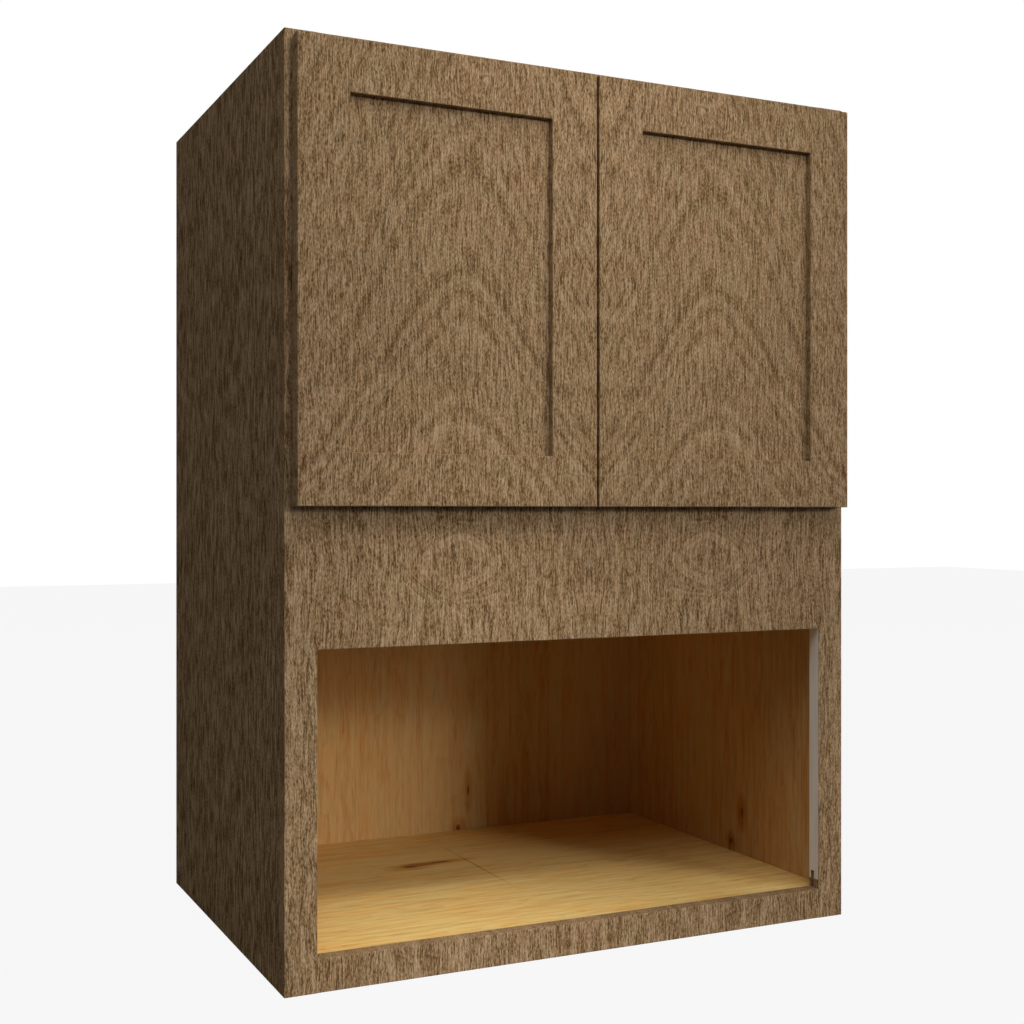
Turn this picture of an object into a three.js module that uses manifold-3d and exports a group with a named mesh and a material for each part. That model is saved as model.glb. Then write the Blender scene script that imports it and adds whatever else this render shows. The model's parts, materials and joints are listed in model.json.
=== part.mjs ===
// Microwave cabinet: a wall-hung box with a face frame, an open niche for the oven below and a
// two-door cupboard above.  Boards, rails, doors, cup hinges, bumpers, shelf and shelf pins are
// separate pieces.  Millimetres; +X is right, +Y is to the wall, +Z is up.  The origin is in the
// middle of the underside, halfway between the door fronts and the back edge.

import * as THREE from 'three';
import { mergeVertices } from 'three/addons/utils/BufferGeometryUtils.js';
import Module from 'manifold-3d';

const wasm = await Module();
wasm.setup();

// ---------------------------------------------------------------- driving dimensions

// Case
const CASE_W = 762;            // across the face frame
const CASE_H = 1067;
const CASE_D = 543;            // frame front to back edge
const SIDE_T = 19;             // side boards
const DECK_T = 12;             // top, middle deck and niche floor
const BACK_T = 6;
const HANG_RAIL_T = 13;        // rails behind the back panel
const HANG_RAIL_H = 75;
const DADO_DEPTH = 6;          // grooves in the side boards

// Face frame
const FRAME_T = 19;
const STILE_W = 38;
const TOP_RAIL_H = 38;
const BOTTOM_RAIL_H = 38;
const NICHE_H = 343;           // clear height of the oven opening
const WIDE_RAIL_H = 190;       // rail between the niche and the cupboard
const TENON_LENGTH = 12;
const TENON_T = 7;
const TENON_SHOULDER = 6;      // shoulder above and below a tenon

// Doors
const DOOR_T = 19;
const DOOR_GAP_BEHIND = 4;     // air between door and frame, kept by the bumpers
const DOOR_SIDE_REVEAL = 8;
const DOOR_TOP_REVEAL = 8.5;
const DOOR_MEETING_GAP = 3;
const DOOR_LIP = 30.5;         // how far a door laps over the wide rail
const DOOR_FRAME_W = 60;       // width of door stiles and rails
const DOOR_PANEL_T = 6;
const DOOR_PANEL_RECESS = 9.5; // panel face behind the door's front
const PANEL_GROOVE_DEPTH = 10;
const EASED_EDGE = 2;          // radius round the outside of a door
const STICKING = 1.5;          // radius round the inside of its frame

// Cup hinges
const CUP_R = 17.5;
const CUP_TAB = 3;             // door edge to cup
const CUP_FLOOR = 1.25;
const CUP_FLANGE_T = 1;
const CUP_FLANGE_LAP = 0.75;
const WING_REACH = 26;
const WING_W = 13;
const WING_OFFSET = 9.5;       // screw line beyond the cup's middle
const CUP_SCREW_R = 2;
const CUP_SCREW_PITCH = 45;
const PIVOT_FROM_EDGE = 8;
const PIVOT_DEPTH = 7.5;       // pivot in front of the door's back face
const PIN_R = 1.25;
const PIN_LENGTH = 18.5;
const ARM_T = 1.75;
const ARM_H = 11.5;
const ARM_BEND = 3;            // inner radius of the arm's bend
const CURL_WALL = 1.25;
const BASE_H = 44;
const BASE_SETBACK = 1.5;      // base plate behind the frame's front
const BASE_W = 16;
const BASE_CORNER = 3;
const BASE_SLOT_R = 2.25;
const BASE_SLOT_TRAVEL = 3;
const BASE_SCREW_PITCH = 28;
const HINGE_FROM_END = 75;

// Bumpers, shelf and pins
const BUMPER_R = 5;
const BUMPER_INSET = 15;
const SHELF_T = 16;
const SHELF_FRONT_SETBACK = 12;
const SHELF_SIDE_PLAY = 1.5;
const SHELF_BACK_PLAY = 2;
const PEG_HOLE_R = 2.5;
const PEG_HOLE_DEPTH = 11;
const PEG_PITCH = 32;
const PEG_HOLES = 7;
const PEG_SHELF_HOLE = 3;      // hole, counted from 0, that carries the shelf
const PEG_FIRST_UP = 130;      // lowest hole above the cupboard floor
const PEG_FRONT_INSET = 60;
const PEG_BACK_INSET = 50;
const SPOON_REACH = 11;
const SPOON_W = 10;
const SPOON_T = 2;

// Clearances
const FIT = 0.25;              // each side of a glued or sliding joint
const TURN = 0.25;             // round a turning piece

const ROUND = 32;              // sides of a large circle
const SMALL_ROUND = 12;        // sides of a small one
const ARC_STEPS = 4;           // facets in an eased edge

// ---------------------------------------------------------------- derived places

const DOOR_PROUD = DOOR_T + DOOR_GAP_BEHIND;
const FRONT_Y = -(CASE_D + DOOR_PROUD) / 2;          // door fronts
const FRAME_Y = FRONT_Y + DOOR_PROUD;                // front of the face frame
const CARCASS_Y = FRAME_Y + FRAME_T;                 // front edge of the boards
const BACK_Y = FRAME_Y + CASE_D;                     // rear edge of the boards
const PANEL_Y = BACK_Y - HANG_RAIL_T - BACK_T;       // inside of the back panel
const HALF_W = CASE_W / 2;
const INNER_X = HALF_W - SIDE_T;                     // inside of a side board
const OPENING_X = HALF_W - STILE_W;                  // inner edge of a frame stile
const NICHE_TOP = BOTTOM_RAIL_H + NICHE_H;
const DECK_TOP = NICHE_TOP + WIDE_RAIL_H;
const CEILING = CASE_H - TOP_RAIL_H;

const DOOR_W = (CASE_W - 2 * DOOR_SIDE_REVEAL - DOOR_MEETING_GAP) / 2;
const DOOR_BOTTOM = DECK_TOP - DOOR_LIP;
const DOOR_H = CASE_H - DOOR_TOP_REVEAL - DOOR_BOTTOM;
const HINGE_HEIGHTS = [HINGE_FROM_END, DOOR_H - HINGE_FROM_END];

const CUP_CENTRE = CUP_TAB + CUP_R;                  // from the door's edge
const CURL_R = PIN_R + TURN + CURL_WALL;
const POCKET_DEPTH = PIVOT_DEPTH + CURL_R + TURN;
const CUP_DEPTH = POCKET_DEPTH + CUP_FLOOR;
const STILE_EDGE = STILE_W - DOOR_SIDE_REVEAL;       // frame stile's inner edge from the door's edge

// ---------------------------------------------------------------- finishes

const FINISHES = {
  stainedOak: { color: 0x8a7559, roughness: 0.55, metalness: 0 },
  naturalPly: { color: 0xc08a48, roughness: 0.5, metalness: 0 },
  zinc: { color: 0xb9bbbd, roughness: 0.35, metalness: 0.9 },
  steel: { color: 0xc9cacc, roughness: 0.3, metalness: 1 },
  softPlastic: { color: 0xd9d9d2, roughness: 0.4, metalness: 0 },
};

// ---------------------------------------------------------------- solids from geometries

function toSolid(geometry) {
  const bare = geometry.clone();
  bare.deleteAttribute('normal');
  bare.deleteAttribute('uv');
  const closed = mergeVertices(bare);
  return new wasm.Manifold(new wasm.Mesh({
    numProp: 3,
    vertProperties: new Float32Array(closed.attributes.position.array),
    triVerts: new Uint32Array(closed.index.array),
  }));
}

function toGeometry(solid) {
  const mesh = solid.getMesh();
  const geometry = new THREE.BufferGeometry();
  geometry.setAttribute('position', new THREE.BufferAttribute(new Float32Array(mesh.vertProperties), 3));
  geometry.setIndex(new THREE.BufferAttribute(new Uint32Array(mesh.triVerts), 1));
  geometry.computeVertexNormals();
  return geometry;
}

function cut(body, tools) {
  const solid = tools.reduce((rest, tool) => rest.subtract(toSolid(tool)), toSolid(body));
  return toGeometry(solid);
}

function join(parts) {
  const [first, ...others] = parts.map(toSolid);
  return toGeometry(others.reduce((sum, other) => sum.add(other), first));
}

// ---------------------------------------------------------------- shape helpers

// A box given by its lowest and highest corners.
function block([x0, y0, z0], [x1, y1, z1]) {
  const box = new THREE.BoxGeometry(x1 - x0, y1 - y0, z1 - z0);
  return box.translate((x0 + x1) / 2, (y0 + y1) / 2, (z0 + z1) / 2);
}

// Extrusions that start on the plane through the origin.  The outline is drawn in the two axes
// that follow the named one, in turn: Y and Z for alongX, Z and X for alongY, X and Y for alongZ.
const AXIS_BASES = {
  x: [[0, 1, 0], [0, 0, 1], [1, 0, 0]],
  y: [[0, 0, 1], [1, 0, 0], [0, 1, 0]],
  z: [[1, 0, 0], [0, 1, 0], [0, 0, 1]],
};

function extrude(axis, shape, length, curveSegments = ARC_STEPS) {
  const basis = AXIS_BASES[axis].map((direction) => new THREE.Vector3(...direction));
  const solid = new THREE.ExtrudeGeometry(shape, { depth: length, bevelEnabled: false, curveSegments });
  return solid.applyMatrix4(new THREE.Matrix4().makeBasis(...basis));
}

// A cylinder from start, running length along the axis.
function rod(axis, start, radius, length, sides = SMALL_ROUND) {
  const disc = new THREE.Shape();
  for (let i = 0; i < sides; i += 1) {
    const turn = (2 * Math.PI * i) / sides;
    const point = [radius * Math.cos(turn), radius * Math.sin(turn)];
    if (i === 0) disc.moveTo(...point);
    else disc.lineTo(...point);
  }
  return extrude(axis, disc, length).translate(...start);
}

// A rectangle with rounded corners, as a Shape.
function roundedRectangle([x0, y0], [x1, y1], radius) {
  const shape = new THREE.Shape();
  shape.moveTo(x0 + radius, y0);
  shape.lineTo(x1 - radius, y0);
  shape.absarc(x1 - radius, y0 + radius, radius, -Math.PI / 2, 0, false);
  shape.lineTo(x1, y1 - radius);
  shape.absarc(x1 - radius, y1 - radius, radius, 0, Math.PI / 2, false);
  shape.lineTo(x0 + radius, y1);
  shape.absarc(x0 + radius, y1 - radius, radius, Math.PI / 2, Math.PI, false);
  shape.lineTo(x0, y0 + radius);
  shape.absarc(x0 + radius, y0 + radius, radius, Math.PI, 1.5 * Math.PI, false);
  return shape;
}

const cabinet = new THREE.Group();
cabinet.name = 'microwave_cabinet';

function piece(name, finish, geometry, position = [0, 0, 0], parent = cabinet) {
  const mesh = new THREE.Mesh(geometry, new THREE.MeshStandardMaterial({ ...FINISHES[finish] }));
  mesh.name = name;
  mesh.position.set(...position);
  parent.add(mesh);
  return mesh;
}

const SIDES = [['left', -1], ['right', 1]];

// ---------------------------------------------------------------- case boards

// Heights of the three horizontal boards' undersides.
const BOARD_UNDERSIDES = {
  niche_floor: BOTTOM_RAIL_H - DECK_T,
  middle_deck: DECK_TOP - DECK_T,
  top_panel: CEILING,
};
const BOARD_END_X = INNER_X + DADO_DEPTH - FIT;
const BACK_BOTTOM = BOARD_UNDERSIDES.niche_floor;
const BACK_TOP = CEILING + DECK_T;

// Shelf holes: one row near the front and one near the back, on both sides.
const PEG_ROWS = [CARCASS_Y + PEG_FRONT_INSET, PANEL_Y - PEG_BACK_INSET];
const pegHeight = (hole) => DECK_TOP + PEG_FIRST_UP + hole * PEG_PITCH;

function sideBoard(sign) {
  const inner = -sign * SIDE_T / 2;                  // inner face, in the board's own frame
  const dadoFloor = inner + sign * DADO_DEPTH;
  const spanX = (a, b) => [Math.min(a, b), Math.max(a, b)];
  const [x0, x1] = spanX(inner - sign, dadoFloor);
  const tools = Object.values(BOARD_UNDERSIDES).map((underside) => block(
    [x0, CARCASS_Y - 1, underside - FIT],
    [x1, PANEL_Y, underside + DECK_T + FIT],
  ));
  tools.push(block([x0, PANEL_Y - FIT, -1], [x1, PANEL_Y + BACK_T + FIT, CASE_H + 1]));
  const start = Math.min(inner - sign, inner + sign * PEG_HOLE_DEPTH);
  for (const row of PEG_ROWS) {
    for (let hole = 0; hole < PEG_HOLES; hole += 1) {
      tools.push(rod('x', [start, row, pegHeight(hole)], PEG_HOLE_R, PEG_HOLE_DEPTH + 1));
    }
  }
  const board = block([-SIDE_T / 2, CARCASS_Y, 0], [SIDE_T / 2, BACK_Y, CASE_H]);
  return cut(board, tools);
}

for (const [side, sign] of SIDES) {
  piece(`${side}_side`, 'stainedOak', sideBoard(sign), [sign * (HALF_W - SIDE_T / 2), 0, 0]);
}

for (const [name, underside] of Object.entries(BOARD_UNDERSIDES)) {
  const board = block([-BOARD_END_X, CARCASS_Y, 0], [BOARD_END_X, PANEL_Y, DECK_T]);
  piece(name, 'naturalPly', board, [0, 0, underside]);
}

piece('back_panel', 'naturalPly', block(
  [-BOARD_END_X, 0, 0],
  [BOARD_END_X, BACK_T, BACK_TOP - BACK_BOTTOM],
), [0, PANEL_Y, BACK_BOTTOM]);

const HANG_RAIL_BOTTOMS = {
  top_hanging_rail: BACK_TOP - HANG_RAIL_H,
  middle_hanging_rail: DECK_TOP - HANG_RAIL_H / 2,
  bottom_hanging_rail: BACK_BOTTOM,
};
for (const [name, bottom] of Object.entries(HANG_RAIL_BOTTOMS)) {
  const rail = block([-INNER_X, 0, 0], [INNER_X, HANG_RAIL_T, HANG_RAIL_H]);
  piece(name, 'naturalPly', rail, [0, PANEL_Y + BACK_T, bottom]);
}

// ---------------------------------------------------------------- face frame

// Each frame rail as [lowest edge, height]; its tenons and the stiles' mortises follow from it.
const FRAME_RAILS = {
  bottom_rail: [0, BOTTOM_RAIL_H],
  wide_middle_rail: [NICHE_TOP, WIDE_RAIL_H],
  top_rail: [CEILING, TOP_RAIL_H],
};
const TENON_Y = (FRAME_T - TENON_T) / 2;

function frameRail(height) {
  const body = block([-OPENING_X, 0, 0], [OPENING_X, FRAME_T, height]);
  const tenons = block(
    [-OPENING_X - TENON_LENGTH, TENON_Y, TENON_SHOULDER],
    [OPENING_X + TENON_LENGTH, TENON_Y + TENON_T, height - TENON_SHOULDER],
  );
  return join([body, tenons]);
}

// A frame stile in its own frame: x runs from its outer edge, so the mortises open on the
// inner edge, which lies at x = -sign * STILE_W.
function frameStile(sign) {
  const body = block([Math.min(0, -sign * STILE_W), 0, 0], [Math.max(0, -sign * STILE_W), FRAME_T, CASE_H]);
  const mouth = -sign * (STILE_W + 1);
  const end = -sign * (STILE_W - TENON_LENGTH - FIT);
  const mortises = Object.values(FRAME_RAILS).map(([bottom, height]) => block(
    [Math.min(mouth, end), TENON_Y - FIT, bottom + TENON_SHOULDER - FIT],
    [Math.max(mouth, end), TENON_Y + TENON_T + FIT, bottom + height - TENON_SHOULDER + FIT],
  ));
  return cut(body, mortises);
}

for (const [name, [bottom, height]] of Object.entries(FRAME_RAILS)) {
  piece(name, 'stainedOak', frameRail(height), [0, FRAME_Y, bottom]);
}
for (const [side, sign] of SIDES) {
  piece(`${side}_stile`, 'stainedOak', frameStile(sign), [sign * HALF_W, FRAME_Y, 0]);
}

// ---------------------------------------------------------------- doors

// A door is drawn from its hinged edge.  out is +1 or -1, the way X runs from that edge to the
// free edge.  Its back face is y = 0 and its front is y = -DOOR_T.
const GROOVE_FRONT = -DOOR_T + DOOR_PANEL_RECESS - FIT;
const GROOVE_BACK = -DOOR_T + DOOR_PANEL_RECESS + DOOR_PANEL_T + FIT;

// Section across a door stile or rail: outside edge at 0, grooved inside edge at DOOR_FRAME_W.
// swap draws it with depth first, for a rail, and flip turns it end for end.
function doorFrameSection(swap, flip) {
  const width = (w) => flip * w;
  const shape = new THREE.Shape();
  const corners = [];
  const add = (w, y) => corners.push([w, y]);
  const eased = (centreW, centreY, radius, from, to) => {
    for (let i = 0; i <= ARC_STEPS; i += 1) {
      const turn = from + ((to - from) * i) / ARC_STEPS;
      add(centreW + radius * Math.cos(turn), centreY + radius * Math.sin(turn));
    }
  };
  add(0, 0);
  eased(EASED_EDGE, -DOOR_T + EASED_EDGE, EASED_EDGE, Math.PI, 1.5 * Math.PI);
  eased(DOOR_FRAME_W - STICKING, -DOOR_T + STICKING, STICKING, -Math.PI / 2, 0);
  add(DOOR_FRAME_W, GROOVE_FRONT);
  add(DOOR_FRAME_W - PANEL_GROOVE_DEPTH, GROOVE_FRONT);
  add(DOOR_FRAME_W - PANEL_GROOVE_DEPTH, GROOVE_BACK);
  add(DOOR_FRAME_W, GROOVE_BACK);
  add(DOOR_FRAME_W, 0);
  corners.forEach(([w, y], i) => {
    const point = swap ? [y, width(w)] : [width(w), y];
    if (i === 0) shape.moveTo(...point);
    else shape.lineTo(...point);
  });
  return shape;
}

function cupBore(out, height) {
  return rod('y', [out * CUP_CENTRE, -CUP_DEPTH - FIT, height], CUP_R + FIT, CUP_DEPTH + FIT + 1, ROUND);
}

function doorStile(flip, bores) {
  const board = extrude('z', doorFrameSection(false, flip), DOOR_H);
  return bores.length ? cut(board, bores) : board;
}

// A door rail with a tongue on each end that fills the stiles' grooves.
function doorRail(flip) {
  const length = DOOR_W - 2 * DOOR_FRAME_W;
  const board = extrude('x', doorFrameSection(true, flip), length);
  const near = flip * EASED_EDGE;
  const far = flip * (DOOR_FRAME_W - PANEL_GROOVE_DEPTH);
  const reach = PANEL_GROOVE_DEPTH - FIT;
  const tongues = [[-reach, 1], [length - 1, length + reach]].map(([x0, x1]) => block(
    [x0, GROOVE_FRONT + FIT, Math.min(near, far)],
    [x1, GROOVE_BACK - FIT, Math.max(near, far)],
  ));
  return join([board, ...tongues]);
}

function doorPanel() {
  const grip = PANEL_GROOVE_DEPTH - 2 * FIT;
  const width = DOOR_W - 2 * (DOOR_FRAME_W - grip);
  const height = DOOR_H - 2 * (DOOR_FRAME_W - grip);
  return block([-width / 2, 0, 0], [width / 2, DOOR_PANEL_T, height]);
}

// ---------------------------------------------------------------- hinges

// A cup hinge is drawn round its pivot.  out points from the hinged edge to the free edge, the
// door's back face is y = PIVOT_DEPTH and the frame's front is DOOR_GAP_BEHIND beyond it.
const cupX = CUP_CENTRE - PIVOT_FROM_EDGE;

function hingeCup(out) {
  const across = (a, b) => [Math.min(out * a, out * b), Math.max(out * a, out * b)];
  const cup = rod('y', [out * cupX, PIVOT_DEPTH - CUP_DEPTH, 0], CUP_R, CUP_DEPTH, ROUND);
  const rim = rod('y', [out * cupX, PIVOT_DEPTH, 0], CUP_R + CUP_FLANGE_LAP, CUP_FLANGE_T, ROUND);
  const [w0, w1] = across(cupX + WING_OFFSET - WING_W / 2, cupX + WING_OFFSET + WING_W / 2);
  const wingOutline = roundedRectangle([-WING_REACH, w0], [WING_REACH, w1], WING_W / 2 - 1);
  const wings = extrude('y', wingOutline, CUP_FLANGE_T).translate(0, PIVOT_DEPTH, 0);
  const [p0, p1] = across(-CURL_R - TURN, CUP_CENTRE + CUP_R - PIVOT_FROM_EDGE - CUP_FLOOR * 2);
  const pocketHalf = ARM_H / 2 + TURN;
  const pocket = block([p0, -CURL_R - TURN, -pocketHalf], [p1, PIVOT_DEPTH + CUP_FLANGE_T + 1, pocketHalf]);
  const pinBore = rod('z', [0, 0, -PIN_LENGTH / 2 - TURN], PIN_R + TURN, PIN_LENGTH + 2 * TURN);
  const screwHoles = [-1, 1].map((end) => rod(
    'y',
    [out * (cupX + WING_OFFSET), PIVOT_DEPTH - 1, (end * CUP_SCREW_PITCH) / 2],
    CUP_SCREW_R,
    CUP_FLANGE_T + 2,
  ));
  return cut(join([cup, rim, wings]), [pocket, pinBore, ...screwHoles]);
}

// The arm curls round the pin, leaves through the cup's mouth and turns back along the inner
// edge of the frame's stile, where its base plate is screwed.
function hingeArm(out) {
  const legX = STILE_EDGE - PIVOT_FROM_EDGE;
  const strapTop = -CURL_R + ARM_T;
  const bendX = legX - ARM_BEND;
  const bendY = strapTop + ARM_BEND;
  const endY = PIVOT_DEPTH + DOOR_GAP_BEHIND + BASE_SETBACK + BASE_W;
  const outline = [[legX, endY], [legX + ARM_T, endY]];
  const sweep = (cx, cy, radius, from, to, steps) => {
    for (let i = 0; i <= steps; i += 1) {
      const turn = from + ((to - from) * i) / steps;
      outline.push([cx + radius * Math.cos(turn), cy + radius * Math.sin(turn)]);
    }
  };
  sweep(bendX, bendY, ARM_BEND + ARM_T, 0, -Math.PI / 2, ARC_STEPS);
  const lift = Math.asin(strapTop / CURL_R);
  sweep(0, 0, CURL_R, -Math.PI / 2, lift - 2 * Math.PI, ROUND / 2);
  sweep(bendX, bendY, ARM_BEND, -Math.PI / 2, 0, ARC_STEPS);
  const shape = new THREE.Shape(outline.map(([x, y]) => new THREE.Vector2(out * x, y)));
  const strap = extrude('z', shape, ARM_H).translate(0, 0, -ARM_H / 2);
  const baseOutline = roundedRectangle([endY - BASE_W, -BASE_H / 2], [endY, BASE_H / 2], BASE_CORNER);
  const baseX = Math.min(out * legX, out * (legX + ARM_T));
  const base = extrude('x', baseOutline, ARM_T).translate(baseX, 0, 0);
  const pinBore = rod('z', [0, 0, -ARM_H], PIN_R + TURN, 2 * ARM_H);
  const slots = [-1, 1].map((end) => {
    const middle = [endY - BASE_W / 2, (end * BASE_SCREW_PITCH) / 2];
    const slot = roundedRectangle(
      [middle[0] - BASE_SLOT_R, middle[1] - BASE_SLOT_R - BASE_SLOT_TRAVEL / 2],
      [middle[0] + BASE_SLOT_R, middle[1] + BASE_SLOT_R + BASE_SLOT_TRAVEL / 2],
      BASE_SLOT_R * 0.99,
    );
    return extrude('x', slot, ARM_T + 2).translate(baseX - 1, 0, 0);
  });
  return cut(join([strap, base]), [pinBore, ...slots]);
}

// ---------------------------------------------------------------- bumpers

// A soft dome on the back of a door: its foot is on y = 0 and it stops FIT short of the frame.
function bumper() {
  const height = DOOR_GAP_BEHIND - FIT;
  const crown = height / 3;
  const profile = [new THREE.Vector2(0, 0), new THREE.Vector2(BUMPER_R, 0)];
  for (let i = 0; i <= ARC_STEPS; i += 1) {
    const turn = (Math.PI / 2) * (i / ARC_STEPS);
    profile.push(new THREE.Vector2(
      BUMPER_R - crown + crown * Math.cos(turn),
      height - crown + crown * Math.sin(turn),
    ));
  }
  profile.push(new THREE.Vector2(0, height));
  return toGeometry(toSolid(new THREE.LatheGeometry(profile, ROUND / 2)));
}

// ---------------------------------------------------------------- doors, with what they carry

for (const [side, sign] of SIDES) {
  const out = -sign;
  const door = new THREE.Group();
  door.name = `${side}_door`;
  door.position.set(sign * (HALF_W - DOOR_SIDE_REVEAL), FRAME_Y - DOOR_GAP_BEHIND, DOOR_BOTTOM);
  cabinet.add(door);
  const add = (name, finish, geometry, position) => (
    piece(`${side}_door_${name}`, finish, geometry, position, door)
  );
  const railX = Math.min(out * DOOR_FRAME_W, out * (DOOR_W - DOOR_FRAME_W));

  const bores = HINGE_HEIGHTS.map((height) => cupBore(out, height));
  add('hinge_stile', 'stainedOak', doorStile(out, bores), [0, 0, 0]);
  add('meeting_stile', 'stainedOak', doorStile(-out, []), [out * DOOR_W, 0, 0]);
  add('bottom_rail', 'stainedOak', doorRail(1), [railX, 0, 0]);
  add('top_rail', 'stainedOak', doorRail(-1), [railX, 0, DOOR_H]);
  const grip = PANEL_GROOVE_DEPTH - 2 * FIT;
  add('panel', 'stainedOak', doorPanel(), [
    (out * DOOR_W) / 2,
    -DOOR_T + DOOR_PANEL_RECESS,
    DOOR_FRAME_W - grip,
  ]);

  HINGE_HEIGHTS.forEach((height, i) => {
    const level = ['lower', 'upper'][i];
    const pivot = [out * PIVOT_FROM_EDGE, -PIVOT_DEPTH, height];
    const pin = rod('z', [0, 0, -PIN_LENGTH / 2], PIN_R, PIN_LENGTH);
    add(`${level}_hinge_cup`, 'zinc', hingeCup(out), pivot);
    add(`${level}_hinge_pin`, 'steel', pin, pivot);
    piece(`${side}_${level}_hinge_arm`, 'steel', hingeArm(out), [
      door.position.x + pivot[0],
      door.position.y + pivot[1],
      door.position.z + pivot[2],
    ]);
  });

  ['lower', 'upper'].forEach((level) => {
    const height = level === 'lower' ? BUMPER_INSET : DOOR_H - BUMPER_INSET;
    add(`${level}_bumper`, 'softPlastic', bumper(), [out * (DOOR_W - BUMPER_INSET), 0, height]);
  });
}

// ---------------------------------------------------------------- shelf and its pins

const SHELF_UNDERSIDE = pegHeight(PEG_SHELF_HOLE) + PEG_HOLE_R;
const SHELF_HALF_W = INNER_X - SHELF_SIDE_PLAY;

piece('cupboard_shelf', 'naturalPly', block(
  [-SHELF_HALF_W, CARCASS_Y + SHELF_FRONT_SETBACK, 0],
  [SHELF_HALF_W, PANEL_Y - SHELF_BACK_PLAY, SHELF_T],
), [0, 0, SHELF_UNDERSIDE]);

// A shelf pin: a peg in its hole with a flat spoon whose top meets the shelf's underside.
function shelfPin(sign) {
  const pegStart = Math.min(0, sign * (PEG_HOLE_DEPTH - 1));
  const peg = rod('x', [pegStart, 0, 0], PEG_HOLE_R - FIT, PEG_HOLE_DEPTH - 1);
  const [x0, x1] = [Math.min(-sign * SPOON_REACH, 0), Math.max(-sign * SPOON_REACH, 0)];
  const spoon = block([x0, -SPOON_W / 2, PEG_HOLE_R - SPOON_T], [x1, SPOON_W / 2, PEG_HOLE_R]);
  const [c0, c1] = [Math.min(-sign * SPOON_T, 0), Math.max(-sign * SPOON_T, 0)];
  const cheek = block([c0, -SPOON_W / 2, -PEG_HOLE_R * 2], [c1, SPOON_W / 2, PEG_HOLE_R]);
  return join([peg, spoon, cheek]);
}

for (const [side, sign] of SIDES) {
  ['front', 'back'].forEach((row, i) => {
    piece(`${side}_${row}_shelf_pin`, 'steel', shelfPin(sign), [
      sign * INNER_X,
      PEG_ROWS[i],
      pegHeight(PEG_SHELF_HOLE),
    ]);
  });
}

export default cabinet;
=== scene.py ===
# %% [markdown]
# # A microwave cabinet, board by board
# The real object is a kitchen wall cabinet.  Below it has an open niche for a microwave oven, and
# above it a cupboard behind two doors with flat recessed panels.  The face frame and the doors are
# oak with a grey-brown stain, and the inside is natural maple ply under clear lacquer.
# This lesson dresses a finished CAD frame: every piece is put where its CAD node already is.

# %% Load the frame
import json
import math

import bmesh
import bpy
from mathutils import Matrix, Vector

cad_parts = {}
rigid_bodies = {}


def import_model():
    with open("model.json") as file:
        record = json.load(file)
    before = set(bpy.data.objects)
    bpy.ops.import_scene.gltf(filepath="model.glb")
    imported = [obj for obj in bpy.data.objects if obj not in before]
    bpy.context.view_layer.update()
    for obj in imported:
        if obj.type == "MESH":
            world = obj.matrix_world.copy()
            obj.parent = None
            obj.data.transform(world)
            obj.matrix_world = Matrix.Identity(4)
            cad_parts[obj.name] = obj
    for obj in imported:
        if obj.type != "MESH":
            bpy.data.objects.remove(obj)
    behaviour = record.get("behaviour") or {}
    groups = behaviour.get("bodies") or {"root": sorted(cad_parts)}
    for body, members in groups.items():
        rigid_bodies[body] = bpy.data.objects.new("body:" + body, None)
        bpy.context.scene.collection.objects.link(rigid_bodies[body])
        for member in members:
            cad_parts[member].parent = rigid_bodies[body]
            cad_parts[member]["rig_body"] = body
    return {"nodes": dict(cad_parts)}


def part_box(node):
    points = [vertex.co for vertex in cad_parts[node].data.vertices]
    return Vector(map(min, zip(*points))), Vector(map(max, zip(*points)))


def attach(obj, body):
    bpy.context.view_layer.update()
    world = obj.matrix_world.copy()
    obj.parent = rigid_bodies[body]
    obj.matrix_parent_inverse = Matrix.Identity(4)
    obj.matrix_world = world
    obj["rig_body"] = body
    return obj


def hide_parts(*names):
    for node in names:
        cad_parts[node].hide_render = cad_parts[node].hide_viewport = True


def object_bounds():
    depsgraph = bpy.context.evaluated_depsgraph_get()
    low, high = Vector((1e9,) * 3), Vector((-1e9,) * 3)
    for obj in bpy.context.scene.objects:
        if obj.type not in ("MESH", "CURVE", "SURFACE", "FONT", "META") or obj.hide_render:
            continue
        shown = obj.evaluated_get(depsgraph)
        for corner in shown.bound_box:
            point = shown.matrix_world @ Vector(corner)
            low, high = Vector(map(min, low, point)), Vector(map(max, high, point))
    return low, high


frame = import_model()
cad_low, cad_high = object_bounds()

MM = 0.001
cad_size = [round(v / MM, 1) for v in cad_high - cad_low]
print("CAD nodes:", len(frame["nodes"]), "size in mm:", cad_size)

# %% [markdown]
# ## The camera
# The photograph is a level two-point view from the cabinet's left.  Its vanishing points gave the
# camera's place, its turn and its lens, so the camera is set by numbers and not by eye.

# %% Camera
# place in metres, turn in degrees, lens and sensor in millimetres
CAMERA_PLACE = (-0.8317, -1.7855, 0.5344)
CAMERA_TURN = 25.507
LENS = 50.27
SENSOR_WIDTH = 36
NEAREST_SEEN = 50 * MM

camera = bpy.data.objects.new("photo_camera", bpy.data.cameras.new("photo_camera"))
bpy.context.scene.collection.objects.link(camera)
camera.location = CAMERA_PLACE
camera.rotation_euler = (math.radians(90), 0, math.radians(-CAMERA_TURN))
camera.data.sensor_width = SENSOR_WIDTH
camera.data.lens = LENS
camera.data.clip_start = NEAREST_SEEN
bpy.context.scene.camera = camera
bpy.context.scene.view_settings.view_transform = "Standard"
print("camera at", CAMERA_PLACE, "lens", LENS)

# %% [markdown]
# ## Small helpers for node trees
# A material is a tree of nodes, and wiring it by hand takes many lines.  One helper adds a node,
# sets its options and connects its inputs, and a second does the sums.

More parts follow.
